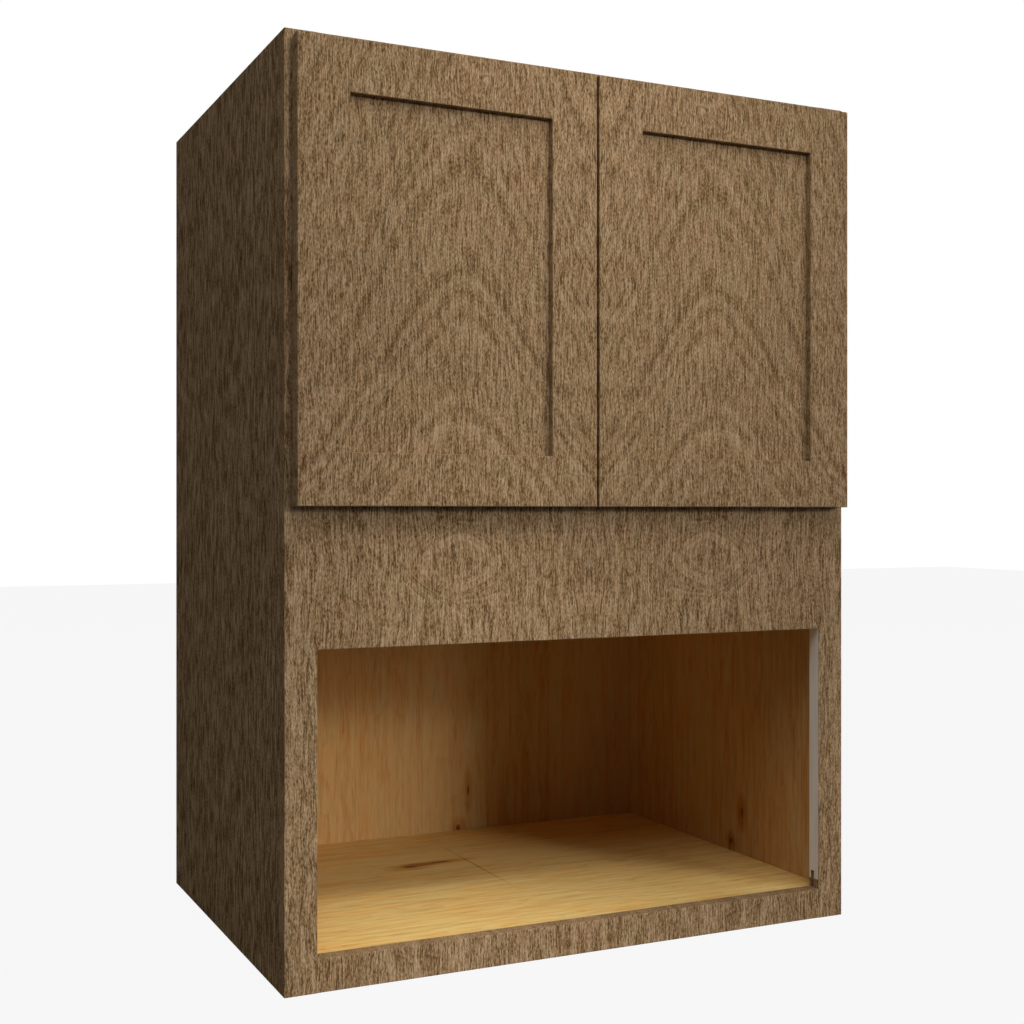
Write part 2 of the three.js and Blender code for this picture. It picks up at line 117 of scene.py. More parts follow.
# %% Node helpers
def add_node(tree, kind, inputs=None, **options):
    """Adds a node; each input is a number, a colour or another node's output."""
    made = tree.nodes.new(kind)
    for option, value in options.items():
        setattr(made, option, value)
    for socket, value in (inputs or {}).items():
        if isinstance(value, bpy.types.NodeSocket):
            tree.links.new(value, made.inputs[socket])
        else:
            made.inputs[socket].default_value = value
    return made


def calc(tree, operation, *values, clamp=False):
    """One step of arithmetic in a node tree."""
    sums = add_node(
        tree, "ShaderNodeMath", dict(enumerate(values)), operation=operation, use_clamp=clamp)
    return sums.outputs[0]


def tint(red, green, blue):
    """A colour as painters' charts give it, 0 to 255, as the linear numbers that Blender wants."""
    def linear(level):
        level = level / 255
        return level / 12.92 if level <= 0.04045 else ((level + 0.055) / 1.055) ** 2.4
    return (linear(red), linear(green), linear(blue), 1.0)


# %% [markdown]
# ## Floor, world and lamps
# The photograph has a pure white ground.  Here a pale floor lies under the cabinet and the world is
# white only to the camera and to reflections, through the Light Path node, so the white ground
# throws no extra light on the wood.  The floor is part plain paint and part camera-only white,
# which leaves it pale and still keeps a soft shadow.

# %% Floor and world
FLOOR_PAINT = tint(112, 111, 110)
FLOOR_WHITENING = 0.92
FLOOR_HALF = 9
FLOOR_DROP = 0.4 * MM
WHITE = (1, 1, 1, 1)
AMBIENT = 0.015


def seen_directly(tree):
    """1 for rays from the camera, reflections and glass, 0 for light that falls on things."""
    path = add_node(tree, "ShaderNodeLightPath")
    shiny = calc(
        tree, "MAXIMUM", path.outputs["Is Glossy Ray"], path.outputs["Is Transmission Ray"])
    return calc(tree, "MAXIMUM", path.outputs["Is Camera Ray"], shiny)


world = bpy.data.worlds.new("pale_room")
bpy.context.scene.world = world
world.use_nodes = True
sky = world.node_tree
sky.nodes.clear()
glow = add_node(sky, "ShaderNodeBackground", {"Color": WHITE, "Strength": AMBIENT})
ground = add_node(sky, "ShaderNodeBackground", {"Color": WHITE, "Strength": 1.0})
blend = add_node(sky, "ShaderNodeMixShader", {
    0: seen_directly(sky), 1: glow.outputs[0], 2: ground.outputs[0]})
add_node(sky, "ShaderNodeOutputWorld", {0: blend.outputs[0]})

floor_finish = bpy.data.materials.new("pale_floor_paint")
floor_finish.use_nodes = True
tree = floor_finish.node_tree
tree.nodes.clear()
paint = add_node(tree, "ShaderNodeBsdfDiffuse", {"Color": FLOOR_PAINT})
white = add_node(tree, "ShaderNodeEmission", {"Color": WHITE, "Strength": 1.0})
share = calc(tree, "MULTIPLY", seen_directly(tree), FLOOR_WHITENING)
blend = add_node(tree, "ShaderNodeMixShader", {0: share, 1: paint.outputs[0], 2: white.outputs[0]})
add_node(tree, "ShaderNodeOutputMaterial", {0: blend.outputs[0]})

bm = bmesh.new()
bmesh.ops.create_grid(bm, x_segments=4, y_segments=4, size=FLOOR_HALF)
bmesh.ops.translate(bm, verts=bm.verts, vec=(0, 0, -FLOOR_DROP))
mesh = bpy.data.meshes.new("studio_floor")
bm.to_mesh(mesh)
bm.free()
mesh.materials.append(floor_finish)
studio_floor = bpy.data.objects.new("studio_floor", mesh)
bpy.context.scene.collection.objects.link(studio_floor)
print("floor and world ready")

# %% [markdown]
# The doors are about four times as bright as the side, and the light reaches the left of the niche
# but not its right wall.  Four large soft squares give the even part: one over the front, one far
# off to the right, one at the left for the side and one behind, so that the back can be seen too.

# %% Lamps
LAMP_AIM = (0, -0.2, 0.5)
# place, edge length and power of each lamp
LAMPS = {
    "near_lamp": ((-0.2, -1.3, 2.3), 1.6, 23.0),
    "far_lamp": ((5.8, -6.4, 4.3), 2.4, 20.0),
    "left_lamp": ((-6.0, -0.6, 2.6), 2.4, 53.5),
    "back_lamp": ((2.2, 3.6, 2.4), 2.4, 60.0),
}


def hang(lamp_name, kind, place, target, power):
    """A new lamp of that kind, turned towards its target."""
    lamp_data = bpy.data.lights.new(lamp_name, kind)
    lamp_data.energy = power
    lamp = bpy.data.objects.new(lamp_name, lamp_data)
    lamp.location = place
    lamp.rotation_euler = (Vector(target) - Vector(place)).to_track_quat("-Z", "Y").to_euler()
    bpy.context.scene.collection.objects.link(lamp)
    print(lamp_name, "at", place, "power", power)
    return lamp_data


for lamp_name, (place, edge, power) in LAMPS.items():
    lamp_data = hang(lamp_name, "AREA", place, LAMP_AIM, power)
    lamp_data.shape = "SQUARE"
    lamp_data.size = edge

# %% [markdown]
# A square's light spreads everywhere, and more of it would throw shadows in the niche that the
# photograph doesn't have.  So five spots with narrow beams add the rest: one for the doors, three
# that reach into the niche from the right, and one for the front of the niche floor.

# %% Spots
# place, target, beam angle in degrees, fade of the beam's edge, radius and power of each spot
SPOTS = {
    "door_spot": ((0.35, -4.2, 1.9), (0.0, -0.28, 1.12), 14.8, 0.6, 0.35, 270.0),
    "niche_spot": ((2.86, -3.61, 1.13), (0.0, -0.26, 0.18), 12.4, 0.3, 0.95, 500.0),
    "deck_spot": ((2.4, -4.0, 1.3), (0.0, -0.26, -0.35), 22.0, 0.3, 0.65, 380.0),
    "low_spot": ((2.2, -4.2, 0.6), (0.0, -0.26, 0.2), 13.0, 0.5, 0.9, 230.0),
    "floor_spot": ((-0.1, -1.25, 1.75), (-0.18, -0.22, 0.0), 21.0, 1.0, 0.15, 68.0),
}

for lamp_name, (place, target, beam, fade, radius, power) in SPOTS.items():
    lamp_data = hang(lamp_name, "SPOT", place, target, power)
    lamp_data.spot_size = math.radians(beam)
    lamp_data.spot_blend = fade
    lamp_data.shadow_soft_size = radius

# %% [markdown]
# ## How wood is painted
# Wood shows three things at three scales: pores of a millimetre or two, streaks as long as a
# finger, and the growth rings that a saw lays open as arches.  All of them are noise in space,
# stretched along the grain, so they run through a board and round its edges as in real timber.

# %% Wood helpers
def start_finish(name):
    """A new material with its tree and its shader."""
    finish = bpy.data.materials.new(name)
    finish.use_nodes = True
    return finish, finish.node_tree, finish.node_tree.nodes["Principled BSDF"]


def board_place(tree):
    """X, Y and Z on the object, in metres."""
    coordinates = add_node(tree, "ShaderNodeTexCoord").outputs["Object"]
    return add_node(tree, "ShaderNodeSeparateXYZ", {0: coordinates}).outputs[:]


def cloud(tree, x, y, z, density, detail=2.0, roughness=0.5):
    """Soft noise, 0 to 1; density is how many lumps a metre holds along X, Y and Z."""
    place = add_node(tree, "ShaderNodeCombineXYZ", {0: x, 1: y, 2: z}).outputs[0]
    packed = add_node(tree, "ShaderNodeVectorMath", {0: place, 1: density}, operation="MULTIPLY")
    noise = add_node(tree, "ShaderNodeTexNoise", {
        "Vector": packed.outputs[0], "Scale": 1.0, "Detail": detail, "Roughness": roughness})
    return noise.outputs["Fac"]


def swing(tree, value, amount):
    """A 0 to 1 value turned into plus or minus half the amount."""
    return calc(tree, "MULTIPLY_ADD", value, amount, -amount / 2)


def total(tree, *values):
    """Adds several values."""
    result = values[0]
    for value in values[1:]:
        result = calc(tree, "ADD", result, value)
    return result


def tone(tree, level, stops):
    """Turns a level, 0 to 1, into a colour through a few named tones."""
    ramp = add_node(tree, "ShaderNodeValToRGB", {0: level})
    marks = ramp.color_ramp.elements
    while len(marks) < len(stops):
        marks.new(0.5)
    for mark, (position, colour) in zip(marks, stops):
        mark.position = position
        mark.color = colour
    return ramp.outputs[0]


def glazed(tree, colour, glaze, share):
    """A colour with a glaze laid over it, as strongly as the share from 0 to 1 says."""
    mix = add_node(
        tree, "ShaderNodeMix", {"Factor": share, 6: colour, 7: glaze},
        data_type="RGBA", blend_type="MULTIPLY")
    return mix.outputs[2]


def roughen(tree, shader, height, depth, strength=1.0):
    """A bump of that depth in metres, from a height of 0 to 1."""
    bump = add_node(tree, "ShaderNodeBump", {
        "Height": height, "Distance": depth, "Strength": strength})
    tree.links.new(bump.outputs[0], shader.inputs["Normal"])


# %% [markdown]
# ## Stained oak
# The front is cut so that the left half mirrors the right, as book-matched veneer does, so the
# pattern reads the distance from the middle instead of X.  The doors show tall arches, the wide
# rail shows two rounded eyes, and the rest is straight grain.  Each is one small function that
# counts rings from some line in the tree, and noise along that count makes rings that are never
# alike.

# %% Ring figures of the oak
LEAF_MIDDLE = 0.172
ARCH_SPACING = 0.034
ARCH_WIDTH = 0.06
# how steep an arch's legs are at floor height, and how much steeper they get in a metre
LEGS_AT_FLOOR, LEGS_RISE = -0.3, 4.0
EYE_HEIGHT = 0.476
EYE_HALF_WIDTH, EYE_HALF_HEIGHT = 0.034, 0.021
# an eye is part diamond and part circle, and fades out at its reach
EYE_DIAMOND, EYE_CIRCLE, EYE_REACH = 0.4, 0.55, 2.6
# rings in a metre of straight grain
FRAME_RINGS, SIDE_RINGS = 50.0, 40.0


def arches(tree, half, z, wander):
    """Rings of a flat-sawn board: arches about the middle of a door, steeper towards its top."""
    across = total(tree, half, -LEAF_MIDDLE, swing(tree, wander, 0.02))
    bowed = calc(tree, "SQRT", calc(tree, "MULTIPLY_ADD", across, across, ARCH_WIDTH ** 2))
    steep = calc(tree, "MULTIPLY_ADD", z, LEGS_RISE, LEGS_AT_FLOOR)
    climb = calc(tree, "MULTIPLY_ADD", bowed, steep, z)
    return calc(tree, "DIVIDE", total(tree, climb, swing(tree, wander, 0.03)), ARCH_SPACING)


def eyes(tree, half, z, wander):
    """Rings round an eye in the wide rail, and straight grain away from it."""
    across = calc(tree, "DIVIDE", calc(tree, "SUBTRACT", half, LEAF_MIDDLE), EYE_HALF_WIDTH)
    up = calc(tree, "DIVIDE", calc(tree, "SUBTRACT", z, EYE_HEIGHT), EYE_HALF_HEIGHT)
    squares = calc(tree, "MULTIPLY_ADD", across, across, calc(tree, "MULTIPLY", up, up))
    circle = calc(tree, "MULTIPLY", calc(tree, "SQRT", squares), EYE_CIRCLE)
    diamond = calc(tree, "ADD", calc(tree, "ABSOLUTE", across), calc(tree, "ABSOLUTE", up))
    far = calc(tree, "MULTIPLY_ADD", diamond, EYE_DIAMOND, circle)
    near = calc(tree, "SUBTRACT", EYE_REACH, far, clamp=True)
    round_eye = calc(tree, "MULTIPLY_ADD", far, 1.2, swing(tree, wander, 0.4))
    away = calc(tree, "MULTIPLY_ADD", half, FRAME_RINGS, swing(tree, wander, 5.0))
    step = calc(tree, "MULTIPLY", near, calc(tree, "SUBTRACT", round_eye, away))
    return calc(tree, "ADD", away, step)


def straight(tree, half, z, wander):
    """Rings of a board cut across them: long upright lines."""
    return calc(tree, "MULTIPLY_ADD", half, SIDE_RINGS, swing(tree, wander, 4.0))


# %% [markdown]
# Stain gathers in the open pores.  So short and long pores move the level of the stain a lot, and
# streaks, patches and rings move it less.  The level then picks one of the tones.

# %% Stained oak
STAIN_TONES = [
    (0.00, tint(76, 54, 30)),
    (0.34, tint(106, 83, 55)),
    (0.52, tint(140, 114, 82)),
    (0.70, tint(160, 134, 101)),
    (1.00, tint(188, 163, 131)),
]
# lumps a metre along X, Y and Z; those of the pores keep the boards' faces off the noise's own grid
SHORT_PORES = (860, 860, 290)
LONG_PORES = (810, 810, 45)
FINE_STREAKS = (300, 300, 24)
BROAD_STREAKS = (170, 170, 34)
STAIN_LEVEL = 0.57
PORE_SWING, PATCH_SWING = 2.3, 0.06
REDDER = (1.03, 0.96, 0.93, 1.0)


def stained_oak(name, figure, ring_share, streak_density, streak_share):
    """Grey-brown stain over open-grained oak, with the given ring figure and streaks."""
    finish, tree, shader = start_finish(name)
    x, y, z = board_place(tree)
    half = calc(tree, "ABSOLUTE", x)
    wander = cloud(tree, half, y, z, (14, 14, 9), detail=3.0)
    count = figure(tree, half, z, wander)
    rings = cloud(tree, count, 0.0, 0.0, (1, 0, 0), detail=3.0, roughness=0.65)
    sway = swing(tree, cloud(tree, half, y, z, (16, 16, 13), detail=1.0), 0.014)
    across = calc(tree, "ADD", half, sway)
    short_pores = cloud(tree, across, y, z, SHORT_PORES, detail=1.0)
    long_pores = cloud(tree, across, y, z, LONG_PORES, detail=1.0)
    pores = calc(tree, "MULTIPLY_ADD", short_pores, 0.5, calc(tree, "MULTIPLY", long_pores, 0.5))
    streaks = cloud(tree, across, y, z, streak_density, detail=1.0)
    patches = cloud(tree, half, y, z, (24, 24, 5), detail=2.0)
    level = total(
        tree, STAIN_LEVEL, swing(tree, pores, PORE_SWING), swing(tree, streaks, streak_share),
        swing(tree, patches, PATCH_SWING), swing(tree, rings, ring_share),
    )
    blush = cloud(tree, half, y, z, (60, 60, 26), detail=3.0)
    share = calc(tree, "MULTIPLY_ADD", blush, 2.4, -0.7, clamp=True)
    stained = glazed(tree, tone(tree, level, STAIN_TONES), REDDER, share)
    tree.links.new(stained, shader.inputs["Base Color"])
    shader.inputs["Specular IOR Level"].default_value = 0.0
    tree.links.new(calc(tree, "MULTIPLY_ADD", pores, -0.25, 0.7), shader.inputs["Roughness"])
    roughen(tree, shader, pores, 0.25 * MM, 0.35)
    return finish


door_oak = stained_oak("stained_oak_arched", arches, 0.8, FINE_STREAKS, 0.06)
frame_oak = stained_oak("stained_oak_with_eyes", eyes, 1.0, FINE_STREAKS, 0.06)
side_oak = stained_oak("stained_oak_straight", straight, 0.8, BROAD_STREAKS, 1.2)
print("stained oak:", door_oak.name, frame_oak.name, side_oak.name)

# %% [markdown]
# ## Natural maple ply
# The inside is rotary and sliced maple, golden and smooth, glued from leaves about a hand wide.
# Each leaf starts at its own spot of the noise, so the figure breaks at the joints.  Knots are
# small dark ellipses with a halo, put where the photograph has them.

# %% Natural maple
MAPLE_TONES = [
    (0.00, tint(128, 66, 22)),
    (0.22, tint(176, 116, 54)),
    (0.38, tint(206, 158, 92)),
    (0.55, tint(222, 184, 118)),
    (1.00, tint(236, 208, 152)),
]
MAPLE_BLUSH = (1.06, 0.88, 0.70, 1.0)
LEAF_WIDTH = 0.109
LEAF_JUMP = 3.37
MAPLE_LEVEL = 0.55
# knots as (across the grain, along it, half width, half length), in metres
BACK_KNOTS = [(0.070, 0.099, 0.0030, 0.010), (0.053, 0.042, 0.0045, 0.006)]
WALL_KNOTS = [(-0.058, 0.099, 0.0034, 0.009), (-0.030, 0.052, 0.0045, 0.005)]
# the last one is the end of a leaf: a thin dark line across the grain
FLOOR_KNOTS = [
    (0.0805, -0.099, 0.006, 0.012), (0.089, -0.051, 0.0035, 0.020),
    (0.050, -0.012, 0.040, 0.0005),
]


def cast_and_lit_tones(stops, *factors):
    """The same tones with more or less red, green and blue: a cast of colour, with painted light
    where all three rise and painted shade where all three fall.
    """
    def cast(colour):
        return (*(level * factor for level, factor in zip(colour, factors)), 1.0)
    return [(place, cast(colour)) for place, colour in stops]


def natural_maple(name, across_axis, along_axis, cast_and_light, knots=(), first_joint=-0.007):
    """Clear-lacquered maple with its grain along one axis; three factors scale its red, green and
    blue, for a cast of colour and for painted light and shade.
    """
    finish, tree, shader = start_finish(name)
    place = board_place(tree)
    across, along = place[across_axis], place[along_axis]
    through = place[3 - across_axis - along_axis]
    leaves = calc(tree, "DIVIDE", calc(tree, "SUBTRACT", across, first_joint), LEAF_WIDTH)
    leaf = calc(tree, "FLOOR", leaves)
    in_leaf = calc(tree, "SUBTRACT", calc(tree, "FRACT", leaves), 0.5)
    jump = calc(tree, "MULTIPLY", leaf, LEAF_JUMP)
    start = calc(tree, "ADD", along, jump)
    wander = cloud(tree, across, through, start, (11, 11, 4), detail=3.0)
    bowed = calc(tree, "SQRT", calc(tree, "MULTIPLY_ADD", in_leaf, in_leaf, 0.06))
    rings = calc(tree, "FRACT", total(
        tree, calc(tree, "MULTIPLY", bowed, 7.0), calc(tree, "MULTIPLY", start, 6.0),
        swing(tree, wander, 7.0)))
    late_wood = calc(tree, "POWER", rings, 4.0)
    fibres = cloud(tree, across, through, start, (560, 560, 34), detail=2.0, roughness=0.6)
    streaks = cloud(tree, across, through, start, (130, 130, 9), detail=3.0, roughness=0.6)
    bloom = cloud(tree, across, through, start, (46, 46, 13), detail=4.0, roughness=0.6)
    chance = add_node(tree, "ShaderNodeTexWhiteNoise", {"W": leaf}, noise_dimensions="1D")
    leaf_tone = chance.outputs["Value"]
    joint = calc(tree, "GREATER_THAN", calc(tree, "ABSOLUTE", in_leaf), 0.4955)
    level = total(
        tree, MAPLE_LEVEL, swing(tree, fibres, 0.46), swing(tree, streaks, 0.55),
        swing(tree, leaf_tone, 0.16), swing(tree, late_wood, -0.08),
        calc(tree, "MULTIPLY", joint, -0.16),
    )
    for knot_across, knot_along, half_width, half_length in knots:
        aside = calc(tree, "DIVIDE", calc(tree, "SUBTRACT", across, knot_across), half_width)
        away = calc(tree, "DIVIDE", calc(tree, "SUBTRACT", along, knot_along), half_length)
        span = calc(tree, "MULTIPLY_ADD", aside, aside, calc(tree, "MULTIPLY", away, away))
        uneven = calc(tree, "ADD", span, swing(tree, fibres, 2.0))
        core = calc(tree, "SUBTRACT", 1.0, uneven, clamp=True)
        halo = calc(tree, "MULTIPLY_ADD", uneven, -0.07, 1.0, clamp=True)
        stain = calc(tree, "MULTIPLY_ADD", core, 0.42, calc(tree, "MULTIPLY", halo, 0.26))
        level = calc(tree, "SUBTRACT", level, stain)
    share = calc(tree, "MULTIPLY_ADD", bloom, 2.6, -0.9, clamp=True)
    lacquered = glazed(tree, tone(tree, level, cast_and_lit_tones(MAPLE_TONES, *cast_and_light)), MAPLE_BLUSH, share)
    tree.links.new(lacquered, shader.inputs["Base Color"])
    shader.inputs["Specular IOR Level"].default_value = 0.15
    tree.links.new(calc(tree, "MULTIPLY_ADD", fibres, 0.2, 0.42), shader.inputs["Roughness"])
    roughen(tree, shader, fibres, 0.08 * MM, 0.3)
    return finish


X, Y, Z = 0, 1, 2
# One maple ply in three copies. The back and the walls get darker tones as painted shade, and the
# boards (floor, decks, shelf and rails) get lighter ones as painted light, to match how much light
# reaches each part of the niche. Each copy also carries a small cast of colour.
shaded_back_maple = natural_maple("maple_back_painted_shade", X, Z, (0.74, 0.72, 0.72), BACK_KNOTS)
shaded_wall_maple = natural_maple(
    "maple_wall_painted_shade", Y, Z, (0.72, 0.73, 0.85), WALL_KNOTS, first_joint=0.02)
lightened_board_maple = natural_maple(
    "maple_boards_painted_light", Y, X, (1.12, 1.27, 1.30), FLOOR_KNOTS, first_joint=0.045)
print("maple:", shaded_back_maple.name, shaded_wall_maple.name, lightened_board_maple.name)

# %% [markdown]
# ## Edge banding, metals and plastic
# The stiles' edges beside the oven opening carry a smooth pale band.  The hinges are zinc-plated
# steel, which is never even: plating is a little mottled, and presses leave fine lines.  The
# bumpers are clear soft plastic.

# %% Small finishes
def smooth_band(name):
    """Pale grey-brown edge banding with very fine lines."""
    finish, tree, shader = start_finish(name)
    x, y, z = board_place(tree)
    lines = cloud(tree, x, y, z, (900, 900, 14), detail=1.0)
    tones = [(0.3, tint(224, 221, 215)), (0.7, tint(240, 238, 233))]
    tree.links.new(tone(tree, lines, tones), shader.inputs["Base Color"])
    shader.inputs["Roughness"].default_value = 0.55
    shader.inputs["Specular IOR Level"].default_value = 0.25
    roughen(tree, shader, lines, 0.05 * MM, 0.2)
    return finish


def plated(name, dull, bright, density, rough):
    """Plated or polished metal with mottling."""
    finish, tree, shader = start_finish(name)
    x, y, z = board_place(tree)
    mottle = cloud(tree, x, y, z, density, detail=4.0, roughness=0.6)
    tree.links.new(tone(tree, mottle, [(0.3, dull), (0.7, bright)]), shader.inputs["Base Color"])
    tree.links.new(calc(tree, "MULTIPLY_ADD", mottle, 0.18, rough), shader.inputs["Roughness"])
    shader.inputs["Metallic"].default_value = 1.0
    roughen(tree, shader, mottle, 0.03 * MM, 0.25)
    return finish


def clear_plastic(name):
    """Cloudy soft plastic that lets some light in."""
    finish, tree, shader = start_finish(name)
    x, y, z = board_place(tree)
    cloudy = cloud(tree, x, y, z, (260, 260, 260), detail=2.0)
    tones = [(0.2, tint(206, 208, 204)), (0.8, tint(232, 233, 229))]
    tree.links.new(tone(tree, cloudy, tones), shader.inputs["Base Color"])
    tree.links.new(calc(tree, "MULTIPLY_ADD", cloudy, 0.15, 0.22), shader.inputs["Roughness"])
    shader.inputs["Transmission Weight"].default_value = 0.45
    shader.inputs["IOR"].default_value = 1.46
    return finish


edge_band = smooth_band("smooth_edge_band")
zinc = plated("zinc_plate", tint(150, 153, 158), tint(206, 208, 212), (300, 300, 300), 0.28)
steel = plated("bright_steel", tint(168, 169, 172), tint(214, 215, 217), (500, 500, 120), 0.2)
bumper_plastic = clear_plastic("clear_bumper_plastic")
print("small finishes:", edge_band.name, zinc.name, steel.name, bumper_plastic.name)

# %% [markdown]
# ## Helpers for pieces
# Each piece starts as a bmesh, Blender's workshop for meshes.  A finished one has its double points
# merged, its faces turned outwards and its flat faces shaded flat up to their rounded edges, which
# the Weighted Normal modifier does.  Then it rides on a body of the frame and stands for its node.

# %% Piece helpers
WELD = 0.002 * MM
TOUCH = 0.1 * MM
SIDES = ("left", "right")
LEVELS = ("lower", "upper")
ROWS = ("front", "back")


def size_of(bm):
    """Size of a bmesh in millimetres, for the printed notes."""
    spans = [(min(v.co[i] for v in bm.verts), max(v.co[i] for v in bm.verts)) for i in range(3)]
    return [round((high - low) / MM, 1) for low, high in spans]


def finished(name, bm, finish, body="cabinet", stands_for=(), sharp=40):
    """Turns a bmesh into a piece of the cabinet."""
    bmesh.ops.remove_doubles(bm, verts=bm.verts, dist=WELD)
    bmesh.ops.recalc_face_normals(bm, faces=bm.faces)
    size = size_of(bm)
    mesh = bpy.data.meshes.new(name)
    bm.to_mesh(mesh)
    bm.free()
    mesh.materials.append(finish)
    mesh.shade_smooth()
    mesh.set_sharp_from_angle(angle=math.radians(sharp))
    piece = bpy.data.objects.new(name, mesh)
    bpy.context.scene.collection.objects.link(piece)
    shading = piece.modifiers.new("flat faces stay flat", "WEIGHTED_NORMAL")
    shading.keep_sharp = True
    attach(piece, body)
    if stands_for:
        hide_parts(*stands_for)
    print(f"{name}: {size} mm, {len(mesh.polygons)} faces")
    return piece


def block(low, high):
    """A bmesh box between two corners."""
    bm = bmesh.new()
    bmesh.ops.create_cube(bm, size=1)
    bmesh.ops.scale(bm, verts=bm.verts, vec=Vector(high) - Vector(low))
    bmesh.ops.translate(bm, verts=bm.verts, vec=(Vector(low) + Vector(high)) / 2)
    return bm


def node_block(node):
    """A bmesh box exactly as large as a CAD node."""
    return block(*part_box(node))


def runs_along(edge, axis):
    """True if an edge is parallel to an axis, 0, 1 or 2 for X, Y or Z."""
    run = edge.verts[1].co - edge.verts[0].co
    return abs(run[axis]) > 0.999 * run.length


def middle(edge):
    return (edge.verts[0].co + edge.verts[1].co) / 2


def ease(bm, edges, radius, segments=3):
    """Rounds the given edges, as sandpaper does."""
    bmesh.ops.bevel(
        bm, geom=list(edges), offset=radius, offset_type="OFFSET", segments=segments,
        profile=0.5, affect="EDGES", clamp_overlap=True, material=-1,
    )


def machined(bm, tool, operation="DIFFERENCE"):
    """Cuts a tool's shape out of a bmesh, or joins it on, with a Boolean applied at once."""
    pair = []
    for label, part in (("work", bm), ("tool", tool)):
        bmesh.ops.recalc_face_normals(part, faces=part.faces)
        mesh = bpy.data.meshes.new(label)
        part.to_mesh(mesh)
        part.free()
        holder = bpy.data.objects.new(label, mesh)
        bpy.context.scene.collection.objects.link(holder)
        pair.append(holder)
    work, cutter = pair
    change = work.modifiers.new("machining", "BOOLEAN")
    change.operation = operation
    change.solver = "EXACT"
    change.object = cutter
    bpy.context.view_layer.update()
    depsgraph = bpy.context.evaluated_depsgraph_get()
    shaped = bpy.data.meshes.new_from_object(work.evaluated_get(depsgraph))
    result = bmesh.new()
    result.from_mesh(shaped)
    for holder in pair:
        mesh = holder.data
        bpy.data.objects.remove(holder)
        bpy.data.meshes.remove(mesh)
    bpy.data.meshes.remove(shaped)
    return result


def add_block(bm, low, high):
    """Adds one more box to a bmesh."""
    made = bmesh.ops.create_cube(bm, size=1)["verts"]
    bmesh.ops.scale(bm, verts=made, vec=Vector(high) - Vector(low))
    bmesh.ops.translate(bm, verts=made, vec=(Vector(low) + Vector(high)) / 2)


TURN_TO = {
    "x": Matrix.Rotation(math.radians(90), 4, "Y"),
    "y": Matrix.Rotation(math.radians(-90), 4, "X"),
    "z": Matrix.Identity(4),
}


def add_rod(bm, centre, axis, radius, length, sides=24):
    """Adds a cylinder about a centre, along x, y or z."""
    made = bmesh.ops.create_cone(
        bm, cap_ends=True, segments=sides, radius1=radius, radius2=radius, depth=length)["verts"]
    bmesh.ops.transform(bm, verts=made, matrix=Matrix.Translation(centre) @ TURN_TO[axis])


def recolour(piece, finish, belongs):
    """Gives some faces a second finish; belongs looks at a face's middle and its normal."""
    piece.data.materials.append(finish)
    index = len(piece.data.materials) - 1
    count = 0
    for face in piece.data.polygons:
        if belongs(face.center, face.normal):
            face.material_index = index
            count += 1
    print(f"  {count} faces of {piece.name} in {finish.name}")


# %% [markdown]
# ## Side boards
# A side is a 19 mm board, stained outside and natural inside.  Its inner face has dadoes for the
# three horizontal boards, a groove for the back panel and two rows of holes for shelf pins.  A
# Boolean with plain cutters makes them in the order a joiner would.

# %% Side boards
EASE = 0.6 * MM
DADO_PLAY = 0.25 * MM
DADO_DEPTH = 6 * MM
PEG_RADIUS = 2.5 * MM
PEG_DEPTH = 11 * MM
PEG_PITCH = 32 * MM
PEG_HOLES = 7
PEG_SHELF_HOLE = 3
STAINED_SKIN = 0.8 * MM

decks = ("niche_floor", "middle_deck", "top_panel")
back_low, back_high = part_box("back_panel")


def side_board(side):
    low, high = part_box(f"{side}_side")
    sign = -1 if side == "left" else 1
    inner = low.x if sign > 0 else high.x
    dado_floor = inner + sign * DADO_DEPTH
    near, far = sorted((inner - sign * MM, dado_floor))
    bm = block(low, high)
    ease(bm, [e for e in bm.edges if middle(e).y > high.y - MM and not runs_along(e, X)], EASE)
    dadoes = bmesh.new()
    for deck in decks:
        deck_low, deck_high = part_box(deck)
        add_block(
            dadoes,
            (near, low.y - MM, deck_low.z - DADO_PLAY),
            (far, deck_high.y, deck_high.z + DADO_PLAY),
        )
    bm = machined(bm, dadoes)
    grooves = bmesh.new()
    add_block(
        grooves,
        (near, back_low.y - DADO_PLAY, low.z - MM),
        (far, back_high.y + DADO_PLAY, high.z + MM),
    )
    for row in ROWS:
        pin_low, pin_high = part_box(f"{side}_{row}_shelf_pin")
        for hole in range(PEG_HOLES):
            height = pin_high.z - PEG_RADIUS + (hole - PEG_SHELF_HOLE) * PEG_PITCH
            centre = (inner + sign * (PEG_DEPTH - MM) / 2, (pin_low.y + pin_high.y) / 2, height)
            add_rod(grooves, centre, "x", PEG_RADIUS, PEG_DEPTH + MM, sides=20)
    bm = machined(bm, grooves)
    name = f"{side}_side_board"
    board = finished(name, bm, shaded_wall_maple, stands_for=[f"{side}_side"])
    outside = abs(high.x if sign > 0 else low.x) - STAINED_SKIN
    recolour(board, side_oak, lambda centre, normal: abs(centre.x) > outside)


for side in SIDES:
    side_board(side)

# %% [markdown]
# ## Decks, shelf, back panel and hanging rails
# These are plain ply boards with lightly sanded edges.  Only edges that nothing covers are eased,
# so that the niche floor stays flush with the frame's bottom rail.

# %% Plain boards
def ply_board(node, finish, eased):
    """A board as large as its node; eased tells which edges are sanded."""
    low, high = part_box(node)
    bm = block(low, high)
    ease(bm, [e for e in bm.edges if eased(middle(e), low, high)], EASE, segments=2)
    finished(f"{node}_board", bm, finish, stands_for=[node])


def no_edge(point, low, high):
    return False


def front_edges(point, low, high):
    return point.y < low.y + MM and low.x + MM < point.x < high.x - MM


def outer_rim(point, low, high):
    return point.y > high.y - MM


